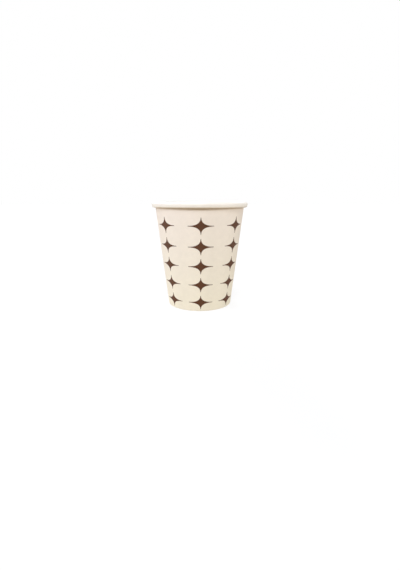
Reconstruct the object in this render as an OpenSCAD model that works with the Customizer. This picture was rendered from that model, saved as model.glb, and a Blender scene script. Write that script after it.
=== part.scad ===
// Single-wall paper cup: a paperboard cone with a side seam, a curled rim and a turned-in hem,
// a raised bottom that the hem holds, and four-point stars printed on the outside.
// Millimetres, +Z up. The origin is the centre of the base, on the table.
// A column of stars faces the front, towards -Y, and the seam is at the back.

/* [Cup] */
// Diameter over the curled rim
rim_d = 73; // [68:0.5:82]
// Diameter of the wall's outside where it meets the table
base_d = 53; // [46:0.5:60]
// Height from the table to the top of the rim
cup_h = 79; // [72:0.5:110]

/* [Paperboard] */
// Thickness of the wall's board
wall_t = 0.3; // [0.2:0.05:0.45]
// Thickness of the bottom's board
bottom_t = 0.25; // [0.2:0.05:0.45]
// Room for the film of sealant between two layers
seal_t = 0.02; // [0.01:0.01:0.1]

/* [Curled rim] */
// Width of the curl
curl_w = 2.8; // [2.4:0.1:4]
// Straight stretch down each side of the curl, which makes it oval
curl_side = 1.1; // [0.2:0.1:3]
// Gap between one turn of the curl and the next
curl_gap = 0.1; // [0.05:0.05:0.2]
// How far the edge is tucked inside the curl after its first full turn, in degrees
tuck_angle = 90; // [30:5:150]

/* [Side seam] */
// Width of the overlap
seam_w = 5; // [3:0.5:10]
// Width of the slope where the outer layer bends over the inner layer's edge
seam_slope_w = 1.4; // [0.8:0.1:3]
// How far the seal presses the two layers into each other
seam_press = 0.06; // [0.02:0.01:0.1]

/* [Bottom] */
// Height of the bottom's underside above the table
recess_h = 7; // [5:0.5:14]
// Outer radius of the bend from the bottom into its skirt
bend_r = 0.8; // [0.6:0.1:1.5]
// How far the hem's edge stops below that bend
hem_gap = 0.9; // [0.2:0.1:2]
// How much of the fold is pressed flat where the cup stands on it
foot_flat = 0.05; // [0.02:0.01:0.1]

/* [Print] */
// Columns of stars round the cup
star_columns = 7; // [3:1:9]
// Rows of stars up the wall
star_rows = 5; // [2:1:5]
// Height of the lowest row's centre above the table
low_row_h = 7.3; // [7:0.1:12]
// Drop from the top of the rim to the highest row's centre
top_row_drop = 15; // [11:0.5:20]
// Height of a star from tip to tip
star_h = 11.2; // [6:0.2:11.8]
// Width of a star from tip to tip
star_w = 18.4; // [10:0.2:20]
// Width of a star's blunt tips
tip_w = 0.4; // [0.2:0.1:1]
// Thickness of the ink film
ink_t = 0.05; // [0.03:0.01:0.1]

/* [Hidden] */
$fn = 144;
curl_fn = 48;
star_side_steps = 5;
bend_steps = 8;
board_white = "#f4ebdf";
bottom_white = "#f6efe6";
ink_brown = "#61402e";

// A length to the nearest thousandth of a millimetre, so that stretches of board meet end to end
function micron(length) = round(length * 1000) / 1000;

// The curl's centre, and the wall's lean: its outside runs from the foot to touch the curl's hollow core
curl_r = curl_w / 2;
core_r = curl_r - wall_t;
curl_x = rim_d / 2 - curl_r;
curl_z = cup_h - curl_r;
foot_to_curl = norm([curl_x - base_d / 2, curl_z]);
wall_lean = atan2(curl_x - base_d / 2, curl_z) - asin(core_r / foot_to_curl);
wall_len = micron(sqrt(foot_to_curl ^ 2 - core_r ^ 2));
curl_step = wall_t + curl_gap;
curl_low_y = wall_len - curl_side;

// The fold under the cup, with the skirt of the bottom and its sealant between the two layers of the wall
skirt_room = bottom_t + 2 * seal_t;
fold_r = wall_t + skirt_room / 2;
fold_y = micron((fold_r * (1 - sin(wall_lean)) - foot_flat) / cos(wall_lean));
skirt_x = -wall_t - seal_t - bottom_t;

// The bend of the bottom, in the wall's own frame and then in the cup's
bend_x = skirt_x + bottom_t - bend_r;
bend_z = recess_h + bottom_t - bend_r;
bend_y = (bend_z + bend_x * sin(wall_lean)) / cos(wall_lean);
disc_r = wall_point(bend_x, bend_y)[0];
hem_y = micron(bend_y - hem_gap);

// The seam from +X to -X: foot of the slope, inner layer's edge and outer layer's edge
slope_x = (seam_w + seam_slope_w) / 2;
inner_edge_x = slope_x - seam_slope_w;
outer_edge_x = inner_edge_x - seam_w;
lap_t = wall_t - seam_press;
mid_r = wall_r(cup_h / 2);
slope_rise = (lap_t + fall(slope_x) - fall(inner_edge_x)) / seam_slope_w;
slope_low = slope_at(slope_x + seam_slope_w / 2);
slope_high = slope_at(inner_edge_x - seam_slope_w / 2);
seam_y = [fold_y, curl_low_y - curl_r];

// The print's rows are spread evenly between the lowest and the highest
row_pitch = (cup_h - top_row_drop - low_row_h) / (star_rows - 1);
column_angle = 360 / star_columns;
ink_y = [fold_y, curl_low_y - curl_r];
// How far the blocks that cut the stars out of the film reach past it
cut_margin = 1;

// Radius of the wall's outside at a height
function wall_r(z) = base_d / 2 + z * tan(wall_lean);

// How far the round wall has fallen back beside the middle of the seam
function fall(x) = x ^ 2 / (2 * mid_r);

// A point of the slope at the seam, which also runs on past its foot and its top
function slope_at(x) = [x, (slope_x - x) * slope_rise - fall(slope_x)];

// A point of the wall's own frame, given in the cup's
function wall_point(x, y) = [
    base_d / 2 + x * cos(wall_lean) + y * sin(wall_lean),
    y * cos(wall_lean) - x * sin(wall_lean)
];

// Points round the bottom's bend: outwards and down where way is 1, and back up where it is -1
function bend_arc(r, way) = [
    for (i = [0 : bend_steps])
        let (share = way > 0 ? i / bend_steps : 1 - i / bend_steps)
        let (a = 90 - share * (90 + wall_lean))
        [disc_r + r * cos(a), bend_z + r * sin(a)]
];

// Points along one concave side of a star, from its side tip to its upper tip
function star_side(half_w, half_h) = [
    for (i = [0 : star_side_steps])
        let (t = i / star_side_steps)
        [tip_w / 2 + (half_w - tip_w / 2) * (1 - t) ^ 2, tip_w / 2 + (half_h - tip_w / 2) * t ^ 2]
];

// The wall's own frame: its origin is the foot, +Y runs up the wall's outside and +X points outwards
module wall_frame() {
    translate([base_d / 2, 0])
        rotate(-wall_lean)
            children();
}

// Half a turn of curved board, above its centre where side is 1 and below it where side is -1
module half_turn(outer_r, thick, side) {
    intersection() {
        difference() {
            circle(outer_r, $fn = curl_fn);
            circle(outer_r - thick, $fn = curl_fn);
        }
        translate([-outer_r, side > 0 ? 0 : -outer_r])
            square([2 * outer_r, outer_r]);
    }
}

// The last stretch of the curl, which lies inside the first turn
module tucked_edge() {
    tuck_r = curl_r - curl_step;
    intersection() {
        half_turn(tuck_r, wall_t, 1);
        rotate(180 - tuck_angle)
            translate([-tuck_r, 0])
                square([2 * tuck_r, tuck_r]);
    }
}

// Section of the sidewall: hem, fold, wall and curl
module sidewall_section() {
    wall_frame() {
        translate([-2 * fold_r, fold_y])
            square([wall_t, hem_y - fold_y]);
        translate([-fold_r, fold_y])
            half_turn(fold_r, wall_t, -1);
        translate([-wall_t, fold_y])
            square([wall_t, wall_len - fold_y]);
        translate([core_r, wall_len])
            half_turn(curl_r, wall_t, 1);
        translate([2 * core_r, curl_low_y])
            square([wall_t, curl_side]);
        translate([core_r + curl_step / 2, curl_low_y])
            half_turn(curl_r - curl_step / 2, wall_t, -1);
        translate([curl_gap, curl_low_y])
            square([wall_t, curl_side]);
        translate([core_r, wall_len])
            tucked_edge();
    }
}

// Section of the bottom as one outline: flat disc, bend and skirt
module bottom_section() {
    top = [[0, recess_h + bottom_t]];
    skirt_end = [wall_point(skirt_x + bottom_t, fold_y), wall_point(skirt_x, fold_y)];
    underside = [[0, recess_h]];
    polygon(concat(top, bend_arc(bend_r, 1), skirt_end, bend_arc(bend_r - bottom_t, -1), underside));
}

// Block over the width of the side seam, where nothing is printed
module seam_zone() {
    translate([outer_edge_x, 0, 0])
        cube([slope_low[0] - outer_edge_x, rim_d, cup_h]);
}

// A stretch of the seam between two depths of the wall, cut out by an outline on the tangent plane:
// +X runs along the rim and +Y outwards
module seam_layer(depth, reach) {
    intersection() {
        rotate_extrude()
            wall_frame()
                translate([-depth, seam_y[0]])
                    square([depth + reach, seam_y[1] - seam_y[0]]);
        translate([0, base_d / 2, 0])
            rotate([-wall_lean, 0, 0])
                linear_extrude(wall_len)
                    children();
    }
}

// The outer layer: a slope over the inner layer's edge, then the overlap as far as its raw edge
module seam_lap() {
    seam_layer(wall_t / 2, lap_t)
        polygon([
            slope_low,
            [outer_edge_x, slope_low[1]],
            [outer_edge_x, slope_high[1]],
            slope_high
        ]);
}

// The groove that is left inside the cup between the inner layer's raw edge and the slope
module seam_groove() {
    inner_slope = [0, -wall_t];
    seam_layer(wall_t + skirt_room / 2, 0)
        polygon([
            slope_low + inner_slope,
            [inner_edge_x, slope_low[1] - wall_t],
            slope_at(inner_edge_x) + inner_slope
        ]);
}

// Half space above the table, which presses the fold flat
module above_table() {
    translate([-rim_d, -rim_d, 0])
        cube([2 * rim_d, 2 * rim_d, 2 * cup_h]);
}

module sidewall() {
    color(board_white)
        intersection() {
            difference() {
                union() {
                    rotate_extrude()
                        sidewall_section();
                    seam_lap();
                }
                seam_groove();
            }
            above_table();
        }
}

module bottom_disc() {
    color(bottom_white)
        rotate_extrude()
            bottom_section();
}

// Outline of a four-point star with concave sides and blunt tips
module star_outline(half_w, half_h) {
    side = star_side(half_w, half_h);
    upper_left = [for (p = star_side(half_h, half_w)) [-p[1], p[0]]];
    polygon(concat(side, upper_left, [for (p = side) -p], [for (p = upper_left) -p]));
}

// Block that cuts one star out of the ink film, in front of the cup
module star_block(z) {
    half_w = star_w / 2;
    half_h = star_h / 2;
    near_r = sqrt(wall_r(z - half_h) ^ 2 - half_w ^ 2) - cut_margin;
    far_r = wall_r(z + half_h) + cut_margin;
    translate([0, -near_r, z])
        rotate([90, 0, 0])
            linear_extrude(far_r - near_r)
                star_outline(half_w, half_h);
}

module star_print() {
    color(ink_brown)
        difference() {
            intersection() {
                rotate_extrude()
                    wall_frame()
                        translate([0, ink_y[0]])
                            square([ink_t, ink_y[1] - ink_y[0]]);
                for (row = [0 : star_rows - 1], column = [0 : star_columns - 1])
                    rotate(column * column_angle)
                        star_block(low_row_h + row * row_pitch);
            }
            seam_zone();
        }
}

sidewall();
bottom_disc();
star_print();
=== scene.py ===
import math

import bpy
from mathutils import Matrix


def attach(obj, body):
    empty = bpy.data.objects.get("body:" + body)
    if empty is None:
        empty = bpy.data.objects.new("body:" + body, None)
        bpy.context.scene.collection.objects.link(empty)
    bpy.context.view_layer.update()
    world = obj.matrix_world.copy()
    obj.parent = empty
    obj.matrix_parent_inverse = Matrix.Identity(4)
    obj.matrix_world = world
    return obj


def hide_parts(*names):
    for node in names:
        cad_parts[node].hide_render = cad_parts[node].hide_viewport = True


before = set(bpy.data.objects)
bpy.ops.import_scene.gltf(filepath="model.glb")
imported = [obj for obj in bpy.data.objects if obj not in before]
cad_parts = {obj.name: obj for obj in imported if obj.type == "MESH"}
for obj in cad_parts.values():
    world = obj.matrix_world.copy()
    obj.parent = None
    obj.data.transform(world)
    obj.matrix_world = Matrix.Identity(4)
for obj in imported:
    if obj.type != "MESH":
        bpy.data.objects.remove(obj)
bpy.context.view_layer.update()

# Sidewall. One fan-shaped blank of coated paperboard, rolled to a cone and heat-sealed along a lapped seam
# at the back. Its top edge is curled outward into the drinking rim, and its bottom edge is turned in and up
# as the hem that holds the bottom.
mm = 0.001
rim_r = 36.5
foot_r = 26.5
cup_h = 79
board_t = 0.3
mid_x = -board_t / 2

# The curl has two half turns with a straight side between them, and its edge is tucked inside the first one
curl_r = 1.4
curl_side = 1.1
curl_gap = 0.1
core_r = curl_r - board_t
curl_step = board_t + curl_gap
curl_mid_r = curl_r - board_t / 2
low_mid_r = curl_mid_r - curl_step / 2
tuck_mid_r = curl_mid_r - curl_step

# The wall leans so that its outside runs straight from the foot to touch the curl's hollow core
curl_out = rim_r - curl_r - foot_r
curl_up = cup_h - curl_r
foot_to_curl = math.hypot(curl_out, curl_up)
wall_lean = math.atan2(curl_out, curl_up) - math.asin(core_r / foot_to_curl)
wall_len = math.sqrt(foot_to_curl ** 2 - core_r ** 2)
curl_low_y = wall_len - curl_side

# The fold has room for the bottom's skirt and its sealant, and is pressed flat where the cup stands on it
skirt_room = 0.29
foot_flat = 0.05
hem_y = 5.472
fold_r = board_t + skirt_room / 2
fold_mid_r = fold_r - board_t / 2
fold_y = (fold_r * (1 - math.sin(wall_lean)) - foot_flat) / math.cos(wall_lean)

# The seam runs from the fold to the curl, and its outer layer rises within a short stretch at both ends
seam_end = 0.06
seam_top_y = curl_low_y - curl_r


def wall_point(x, y):
    """Radius and height in metres of a point x mm out from the wall's outside and y mm up along it."""
    radius = foot_r + x * math.cos(wall_lean) + y * math.sin(wall_lean)
    height = y * math.cos(wall_lean) - x * math.sin(wall_lean)
    return radius * mm, height * mm


def wall_depth(place):
    """How far in mm a point lies out from the wall's outside, which is below zero inside the board."""
    out = math.hypot(place.x, place.y) / mm - foot_r
    return out * math.cos(wall_lean) - place.z / mm * math.sin(wall_lean)


def bend(x, y, radius, start, end, steps):
    """Points round a bend of the board, past the one where it starts. The angles are in degrees."""
    turns = [math.radians(start + (end - start) * step / steps) for step in range(1, steps + 1)]
    return [wall_point(x + radius * math.cos(turn), y + radius * math.sin(turn)) for turn in turns]


def pick(piece, vertex=None, face=None):
    """Selects the vertices or the faces whose place passes a test, and nothing else, in edit mode."""
    bpy.ops.object.mode_set(mode="OBJECT")
    mesh = piece.data
    for kind in (mesh.vertices, mesh.edges, mesh.polygons):
        kind.foreach_set("select", [False] * len(kind))
    if vertex:
        for point in mesh.vertices:
            point.select = vertex(point.co)
    else:
        for panel in mesh.polygons:
            panel.select = face(panel.center)
    bpy.context.tool_settings.mesh_select_mode = (bool(vertex), False, bool(face))
    bpy.ops.object.mode_set(mode="EDIT")


# Points that lie nearer to each other than this are one
touch = 0.0001 * mm


def turn_edge(piece, start, row):
    """Picks the ring of board edge at one radius and height, and extrudes it along a row of points."""
    pick(piece, vertex=lambda place: math.dist((math.hypot(place.x, place.y), place.z), start) < touch)
    radius, height = start
    for next_radius, next_height in row:
        bpy.ops.mesh.extrude_edges_move(TRANSFORM_OT_translate={"value": (0, 0, next_height - height)})
        share = next_radius / radius
        bpy.ops.transform.resize(value=(share, share, 1), center_override=(0, 0, 0))
        radius, height = next_radius, next_height
    bpy.ops.object.mode_set(mode="OBJECT")


back_slot = 1
edge_slot = 2


def thicken(piece, thickness, face, back, edge):
    """Gives a sheet its thickness, half to each side, and the finishes of its face, back and cut edges."""
    for finish in (face, back, edge):
        piece.data.materials.append(finish)
    solid = piece.modifiers.new("board", "SOLIDIFY")
    solid.thickness = thickness * mm
    solid.offset = 0
    solid.use_even_offset = True
    solid.material_offset = back_slot
    solid.material_offset_rim = edge_slot
    bpy.ops.object.modifier_apply(modifier=solid.name)


def srgb(red, green, blue):
    """A colour as it is read off a screen, given as the shader's linear values."""
    shares = [value / 255 for value in (red, green, blue)]
    linear = [share / 12.92 if share < 0.04045 else ((share + 0.055) / 1.055) ** 2.4 for share in shares]
    return (*linear, 1)


# The board's tone runs from the rim to the foot. Its pulp is cloudy, and short fibres show under the coat.
# The change of tone from the rim to the foot is painted light, not a change in the board.
rim_tone_z = 75
foot_tone_z = 5
pulp_scale = 300
pulp_detail = 5
pulp_spread = (0.3, 0.7)
cloud_shades = (0.97, 1.01)
fibre_scale = 2600
fibre_detail = 3
fibre_relief = 0.35
coat_swing = 0.06
coat_shine = 0.35


def paperboard(name, rim_tone, foot_tone_with_painted_light, roughness, fibre_depth):
    """Coated board of a rim tone, a foot tone with painted light, a roughness, and fibres of a depth in mm.
    """
    material = bpy.data.materials.new(name)
    material.use_nodes = True
    nodes, links = material.node_tree.nodes, material.node_tree.links
    face = nodes["Principled BSDF"]
    place = nodes.new("ShaderNodeTexCoord")
    height = nodes.new("ShaderNodeSeparateXYZ")
    painted_light_fade = nodes.new("ShaderNodeMapRange")
    painted_light_fade.inputs["From Min"].default_value = rim_tone_z * mm
    painted_light_fade.inputs["From Max"].default_value = foot_tone_z * mm
    tone = nodes.new("ShaderNodeMix")
    tone.data_type = "RGBA"
    tone.inputs["A"].default_value = rim_tone
    tone.inputs["B"].default_value = foot_tone_with_painted_light
    pulp = nodes.new("ShaderNodeTexNoise")
    pulp.inputs["Scale"].default_value = pulp_scale
    pulp.inputs["Detail"].default_value = pulp_detail
    cloud = nodes.new("ShaderNodeMapRange")
    cloud.inputs["From Min"].default_value = pulp_spread[0]
    cloud.inputs["From Max"].default_value = pulp_spread[1]
    cloud.inputs["To Min"].default_value = cloud_shades[0]
    cloud.inputs["To Max"].default_value = cloud_shades[1]
    shade = nodes.new("ShaderNodeVectorMath")
    shade.operation = "SCALE"
    fibre = nodes.new("ShaderNodeTexNoise")
    fibre.inputs["Scale"].default_value = fibre_scale
    fibre.inputs["Detail"].default_value = fibre_detail
    gloss = nodes.new("ShaderNodeMapRange")
    gloss.inputs["To Min"].default_value = roughness - coat_swing
    gloss.inputs["To Max"].default_value = roughness + coat_swing
    bump = nodes.new("ShaderNodeBump")
    bump.inputs["Strength"].default_value = fibre_relief
    bump.inputs["Distance"].default_value = fibre_depth * mm
    links.new(place.outputs["Object"], height.inputs["Vector"])
    links.new(height.outputs["Z"], painted_light_fade.inputs["Value"])
    links.new(painted_light_fade.outputs["Result"], tone.inputs["Factor"])
    links.new(place.outputs["Object"], pulp.inputs["Vector"])
    links.new(pulp.outputs["Fac"], cloud.inputs["Value"])
    links.new(tone.outputs["Result"], shade.inputs[0])
    links.new(cloud.outputs["Result"], shade.inputs["Scale"])
    links.new(shade.outputs["Vector"], face.inputs["Base Color"])
    links.new(place.outputs["Object"], fibre.inputs["Vector"])
    links.new(fibre.outputs["Fac"], gloss.inputs["Value"])
    links.new(gloss.outputs["Result"], face.inputs["Roughness"])
    links.new(fibre.outputs["Fac"], bump.inputs["Height"])
    links.new(bump.outputs["Normal"], face.inputs["Normal"])
    face.inputs["Specular IOR Level"].default_value = coat_shine
    return material


# Its foot tone is yellower: painted warm bounce light on the lower wall.
outer_board = paperboard(
    "outer_board",
    rim_tone=srgb(244, 231, 219),
    foot_tone_with_painted_light=srgb(243, 233, 212),
    roughness=0.55,
    fibre_depth=0.03,
)
# Its foot tone is darker and yellower: painted shade and warm bounce light deep inside the cup.
coated_inside = paperboard(
    "coated_inside",
    rim_tone=srgb(246, 237, 226),
    foot_tone_with_painted_light=srgb(236, 223, 192),
    roughness=0.38,
    fibre_depth=0.02,
)
cut_edge = paperboard(
    "cut_edge",
    rim_tone=srgb(232, 222, 206),
    foot_tone_with_painted_light=srgb(232, 222, 206),
    roughness=0.8,
    fibre_depth=0.05,
)

# A sheet is modelled along the middle of the board. It starts as a short cone above the fold.
round_steps = 192
wall_rings = (12, 24, 36, 48, 60, 70)
cone_low = wall_point(mid_x, fold_y + seam_end)
cone_top = wall_point(mid_x, wall_rings[0])
bpy.ops.object.select_all(action="DESELECT")
bpy.ops.mesh.primitive_cone_add(
    vertices=round_steps,
    radius1=cone_low[0],
    radius2=cone_top[0],
    depth=cone_top[1] - cone_low[1],
    end_fill_type="NOTHING",
    location=(0, 0, (cone_low[1] + cone_top[1]) / 2),
)
sidewall = bpy.context.object
sidewall.name = "cup_sidewall"
bpy.ops.object.transform_apply()

# The top edge goes up to the curl, round its upper half, down its side, round its lower half and up inside
curl_steps = 18
low_steps = 16
tuck_steps = 6
seam_top = wall_point(mid_x, seam_top_y - seam_end)
curl_row = [wall_point(mid_x, y) for y in wall_rings[1:]]
curl_row += [seam_top, wall_point(mid_x, seam_top_y)]
curl_row += [wall_point(mid_x, wall_len - board_t), wall_point(mid_x, wall_len)]
curl_row += bend(core_r, wall_len, curl_mid_r, 180, 0, curl_steps)
curl_row += [wall_point(core_r + curl_mid_r, curl_low_y)]
curl_row += bend(core_r + curl_step / 2, curl_low_y, low_mid_r, 0, -180, low_steps)
curl_row += [wall_point(core_r - tuck_mid_r, wall_len)]
curl_row += bend(core_r, wall_len, tuck_mid_r, 180, 90, tuck_steps)
turn_edge(sidewall, cone_top, curl_row)

# The bottom edge goes round the fold that the cup stands on, then up inside as the hem
fold_steps = 12
hem_x = -fold_r - fold_mid_r
hem_row = [wall_point(mid_x, fold_y)]
hem_row += bend(-fold_r, fold_y, fold_mid_r, 0, -180, fold_steps)
hem_row += [wall_point(hem_x, fold_y + seam_end), wall_point(hem_x, hem_y)]
turn_edge(sidewall, cone_low, hem_row)
thicken(sidewall, board_t, outer_board, coated_inside, cut_edge)

# The fold is pressed flat on the table
pick(sidewall, vertex=lambda place: place.z < 0)
bpy.ops.transform.resize(value=(1, 1, 0), center_override=(0, 0, 0))

# Across the seam, from +X to -X, lie the slope over the inner layer's edge, the lap and the outer raw edge
seam_w = 5
slope_w = 1.4
seam_press = 0.06
raw_edge = 0.01
lap_t = board_t - seam_press
slope_x = (seam_w + slope_w) / 2
inner_edge_x = slope_x - slope_w
outer_edge_x = inner_edge_x - seam_w
seam_zone = 8 * mm
hem_clear = 0.1


def in_seam(place, margin):
    """Whether a point lies in the wall's board where the seam runs, with a margin in mm at both ends."""
    across = place.y > 0 and abs(place.x) < seam_zone
    along = cone_low[1] - margin * mm < place.z < seam_top[1] + margin * mm
    return across and along and wall_depth(place) > -board_t - hem_clear


# The wall is cut along the slope's two sides and both raw edges, and its outer layer is lifted
for cut in (slope_x, inner_edge_x, inner_edge_x - raw_edge, outer_edge_x, outer_edge_x - raw_edge):
    pick(sidewall, face=lambda place: in_seam(place, 0))
    bpy.ops.mesh.bisect(plane_co=(cut * mm, 0, 0), plane_no=(1, 0, 0), threshold=touch)
bpy.ops.object.mode_set(mode="OBJECT")
lift_y = lap_t * mm * math.cos(wall_lean)
lift_z = -lap_t * mm * math.sin(wall_lean)
for point in sidewall.data.vertices:
    x = point.co.x / mm
    in_lap = outer_edge_x - raw_edge / 2 < x < slope_x
    in_outer_layer = wall_depth(point.co) > mid_x or x > inner_edge_x - raw_edge / 2
    if in_lap and in_outer_layer and in_seam(point.co, seam_end / 2):
        share = min(1, (slope_x - x) / slope_w)
        point.co.y += lift_y * share
        point.co.z += lift_z * share

# The faces there that look sideways are the raw edges
sideways = 0.7
for panel in sidewall.data.polygons:
    at_seam = panel.center.y > 0 and abs(panel.center.x) < seam_zone
    if at_seam and abs(panel.normal.x) > sideways:
        panel.material_index = edge_slot
smooth_angle = math.radians(35)
bpy.ops.object.shade_smooth_by_angle(angle=smooth_angle)
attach(sidewall, "root")
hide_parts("sidewall")

# Bottom. A round blank of thinner coated board, pressed to a shallow pan that stands upside down.
# Its skirt is sealed between the wall and the hem, so that the floor of the cup is raised above the table.
bottom_t = 0.25
recess_h = 7
bend_r = 0.8
bend_steps = 8
skirt_x = -fold_r
bend_mid_r = bend_r - bottom_t / 2
bend_x = skirt_x - bend_mid_r
bend_z = recess_h + bottom_t - bend_r
bend_y = (bend_z + bend_x * math.sin(wall_lean)) / math.cos(wall_lean)
disc_edge = (wall_point(bend_x, bend_y)[0], (recess_h + bottom_t / 2) * mm)

bpy.ops.object.select_all(action="DESELECT")
bpy.ops.mesh.primitive_circle_add(
    vertices=round_steps, radius=disc_edge[0], fill_type="TRIFAN", location=(0, 0, disc_edge[1])
)
bottom = bpy.context.object
bottom.name = "cup_bottom"
bpy.ops.object.transform_apply()
skirt_row = bend(bend_x, bend_y, bend_mid_r, 90 + math.degrees(wall_lean), 0, bend_steps)
skirt_row += [wall_point(skirt_x, fold_y)]
turn_edge(bottom, disc_edge, skirt_row)
thicken(bottom, bottom_t, coated_inside, outer_board, cut_edge)
bpy.ops.object.shade_smooth_by_angle(angle=smooth_angle)
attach(bottom, "root")
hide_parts("bottom_disc")

# Star print. Brown ink laid on the blank before it is rolled: four-point stars with hollow sides, in
# columns round the cup and rows up the wall. The ink is a thin, slightly mottled film on the wall.
star_columns = 7
star_rows = 5
low_row_z = 7.3
top_row_drop = 15
row_pitch = (cup_h - top_row_drop - low_row_z) / (star_rows - 1)
star_half_w = 9.2
star_half_h = 5.6
tip_half_w = 0.2
side_steps = 16
ink_t = 0.05

# One flat star stands in front of the cup. It starts as a square grid, whose columns are drawn out to the
# star's hollow sides, the outermost first.
square_half = 1
square_columns = 2 * side_steps + 1
bpy.ops.object.select_all(action="DESELECT")
bpy.ops.mesh.primitive_grid_add(
    x_subdivisions=square_columns,
    y_subdivisions=2,
    size=2 * square_half * mm,
    location=(0, -2 * foot_r * mm, 0),
    rotation=(math.pi / 2, 0, 0),
)
flat_star = bpy.context.object
bpy.ops.object.transform_apply()
for step in reversed(range(side_steps + 1)):
    column_x = square_half * (2 * step + 1) / square_columns
    out = step / side_steps
    wide = tip_half_w + (star_half_w - tip_half_w) * out ** 2
    tall = tip_half_w + (star_half_h - tip_half_w) * (1 - out) ** 2
    pick(flat_star, vertex=lambda place: abs(abs(place.x) - column_x * mm) < touch)
    bpy.ops.transform.resize(value=(wide / column_x, 1, tall / square_half), center_override=(0, 0, 0))
bpy.ops.object.mode_set(mode="OBJECT")

# Each row's star is laid on the wall and made as thick as the film. Its copies are turned round the cup.
stars = []
for row in range(star_rows):
    bpy.ops.object.select_all(action="DESELECT")
    flat_star.select_set(True)
    bpy.context.view_layer.objects.active = flat_star
    bpy.ops.object.duplicate()
    star = bpy.context.object
    star.location.z = (low_row_z + row * row_pitch) * mm
    bpy.ops.object.transform_apply()
    laid = star.modifiers.new("laid", "SHRINKWRAP")
    laid.target = sidewall
    laid.wrap_method = "PROJECT"
    laid.use_project_y = True
    laid.use_positive_direction = True
    laid.use_negative_direction = False
    bpy.ops.object.modifier_apply(modifier=laid.name)
    film = star.modifiers.new("film", "SOLIDIFY")
    film.thickness = ink_t * mm
    film.offset = 1
    bpy.ops.object.modifier_apply(modifier=film.name)
    stars.append(star)
    for column in range(1, star_columns):
        bpy.ops.object.select_all(action="DESELECT")
        star.select_set(True)
        bpy.context.view_layer.objects.active = star
        bpy.ops.object.duplicate()
        turned = bpy.context.object
        turned.rotation_euler.z = 2 * math.pi * column / star_columns
        bpy.ops.object.transform_apply()
        stars.append(turned)
bpy.data.objects.remove(flat_star)
bpy.ops.object.select_all(action="DESELECT")
for star in stars:
    star.select_set(True)
bpy.context.view_layer.objects.active = stars[0]
bpy.ops.object.join()
print_film = bpy.context.object
print_film.name = "cup_star_print"
bpy.ops.object.shade_smooth_by_angle(angle=smooth_angle)

mottle_scale = 900
mottle_detail = 5
grain_relief = 0.3
grain_depth = 0.02
ink_roughness = 0.6
ink_shine = 0.25
ink = bpy.data.materials.new("brown_ink")
ink.use_nodes = True
nodes, links = ink.node_tree.nodes, ink.node_tree.links
face = nodes["Principled BSDF"]
place = nodes.new("ShaderNodeTexCoord")
mottle = nodes.new("ShaderNodeTexNoise")
mottle.inputs["Scale"].default_value = mottle_scale
mottle.inputs["Detail"].default_value = mottle_detail
tones = nodes.new("ShaderNodeMix")
tones.data_type = "RGBA"
tones.inputs["A"].default_value = srgb(80, 48, 30)
tones.inputs["B"].default_value = srgb(95, 60, 39)
grain = nodes.new("ShaderNodeBump")
grain.inputs["Strength"].default_value = grain_relief
grain.inputs["Distance"].default_value = grain_depth * mm
links.new(place.outputs["Object"], mottle.inputs["Vector"])
links.new(mottle.outputs["Fac"], tones.inputs["Factor"])
links.new(tones.outputs["Result"], face.inputs["Base Color"])
links.new(mottle.outputs["Fac"], grain.inputs["Height"])
links.new(grain.outputs["Normal"], face.inputs["Normal"])
face.inputs["Roughness"].default_value = ink_roughness
face.inputs["Specular IOR Level"].default_value = ink_shine
print_film.data.materials.clear()
print_film.data.materials.append(ink)
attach(print_film, "root")
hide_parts("star_print")

# Table and light. A pale table top under soft daylight, from broad lamps at the left, the front, the right,
# behind and above. The table sends warm light back up to the cup. Where it is seen it is neutral and lifted
# to white, and it keeps the cup's shadow.
table_size = 8
table_glow = (0.32, 0.22, 0.09, 1)
table_seen = (0.22, 0.21, 0.2, 1)
table_lift = 0.8
full_white = (1, 1, 1, 1)


def background_rays(nodes, links):
    """Marks the rays that see the background: those from the camera, off a gloss and through glass."""
    ray = nodes.new("ShaderNodeLightPath")
    direct = nodes.new("ShaderNodeMath")
    direct.operation = "MAXIMUM"
    seen = nodes.new("ShaderNodeMath")
    seen.operation = "MAXIMUM"
    links.new(ray.outputs["Is Camera Ray"], direct.inputs[0])
    links.new(ray.outputs["Is Glossy Ray"], direct.inputs[1])
    links.new(direct.outputs["Value"], seen.inputs[0])
    links.new(ray.outputs["Is Transmission Ray"], seen.inputs[1])
    return seen.outputs["Value"]


bpy.ops.object.select_all(action="DESELECT")
bpy.ops.mesh.primitive_plane_add(size=table_size, location=(0, 0, 0))
table = bpy.context.object
table.name = "table_top"
table_top = bpy.data.materials.new("table_top")
table_top.use_nodes = True
nodes, links = table_top.node_tree.nodes, table_top.node_tree.links
face = nodes["Principled BSDF"]
face.inputs["Roughness"].default_value = 1
face.inputs["Specular IOR Level"].default_value = 0
tone = nodes.new("ShaderNodeMix")
tone.data_type = "RGBA"
tone.inputs["A"].default_value = table_glow
tone.inputs["B"].default_value = table_seen
white = nodes.new("ShaderNodeEmission")
white.inputs["Color"].default_value = full_white
lifted = nodes.new("ShaderNodeMath")
lifted.operation = "MULTIPLY"
lifted.inputs[1].default_value = table_lift
both = nodes.new("ShaderNodeAddShader")
seen = background_rays(nodes, links)
links.new(seen, tone.inputs["Factor"])
links.new(tone.outputs["Result"], face.inputs["Base Color"])
links.new(seen, lifted.inputs[0])
links.new(lifted.outputs["Value"], white.inputs["Strength"])
links.new(face.outputs["BSDF"], both.inputs[0])
links.new(white.outputs["Emission"], both.inputs[1])
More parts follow.
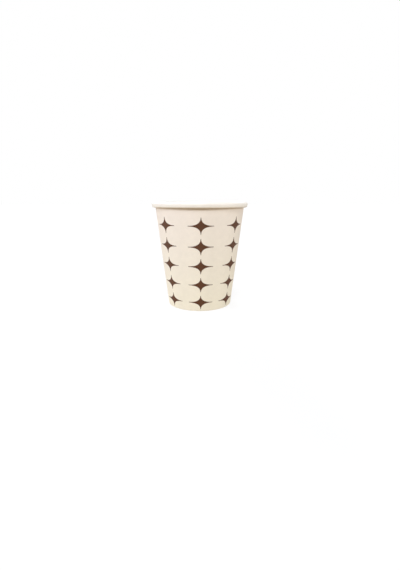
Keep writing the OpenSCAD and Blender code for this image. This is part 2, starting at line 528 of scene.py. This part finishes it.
links.new(both.outputs["Shader"], nodes["Material Output"].inputs["Surface"])
table.data.materials.append(table_top)

# The surroundings light the cup softly, and are white where they are seen
sky_tone = (0.856, 0.916, 1, 1)
sky_power = 0.376
world = bpy.data.worlds.new("studio")
bpy.context.scene.world = world
world.use_nodes = True
nodes, links = world.node_tree.nodes, world.node_tree.links
soft = nodes["Background"]
soft.inputs["Color"].default_value = sky_tone
soft.inputs["Strength"].default_value = sky_power
white = nodes.new("ShaderNodeBackground")
white.inputs["Color"].default_value = full_white
which = nodes.new("ShaderNodeMixShader")
links.new(background_rays(nodes, links), which.inputs["Fac"])
links.new(soft.outputs["Background"], which.inputs[1])
links.new(white.outputs["Background"], which.inputs[2])
links.new(which.outputs["Shader"], nodes["World Output"].inputs["Surface"])

lamp_spread = math.radians(20)
daylight = (0.882, 0.935, 1)


def lamp(name, side, height, power, tone):
    """A broad soft lamp, at an angle to the side of the front and an angle above the table, in degrees."""
    turn = (math.radians(90 - height), 0, math.radians(side))
    bpy.ops.object.light_add(type="SUN", location=(0, 0, 1), rotation=turn)
    light = bpy.context.object.data
    light.name = name
    light.energy = power
    light.angle = lamp_spread
    light.color = tone


lamp("left_lamp", side=-76, height=15, power=1.88, tone=(0.856, 0.907, 1))
lamp("front_lamp", side=-12, height=34, power=1.377, tone=daylight)
lamp("right_lamp", side=57, height=17, power=1.5, tone=(0.92, 0.965, 1))
lamp("back_lamp", side=195, height=20, power=1.877, tone=daylight)
lamp("top_lamp", side=-20, height=80, power=0.313, tone=daylight)

# Camera. It stands close by, a little above the height of the rim, and is tilted down.
# Its view is an off-centre crop, which the shift gives.
camera_place = (-6.826 * mm, -256.1 * mm, 81.879 * mm)
camera_tilt = math.radians(65.288)
camera_turn = math.radians(-1.586)
bpy.ops.object.camera_add(location=camera_place, rotation=(camera_tilt, 0, camera_turn))
camera = bpy.context.object
camera.data.lens = 19.29
camera.data.shift_y = 0.0935
camera.data.clip_start = 10 * mm
bpy.context.scene.camera = camera
bpy.context.scene.view_settings.view_transform = "Standard"
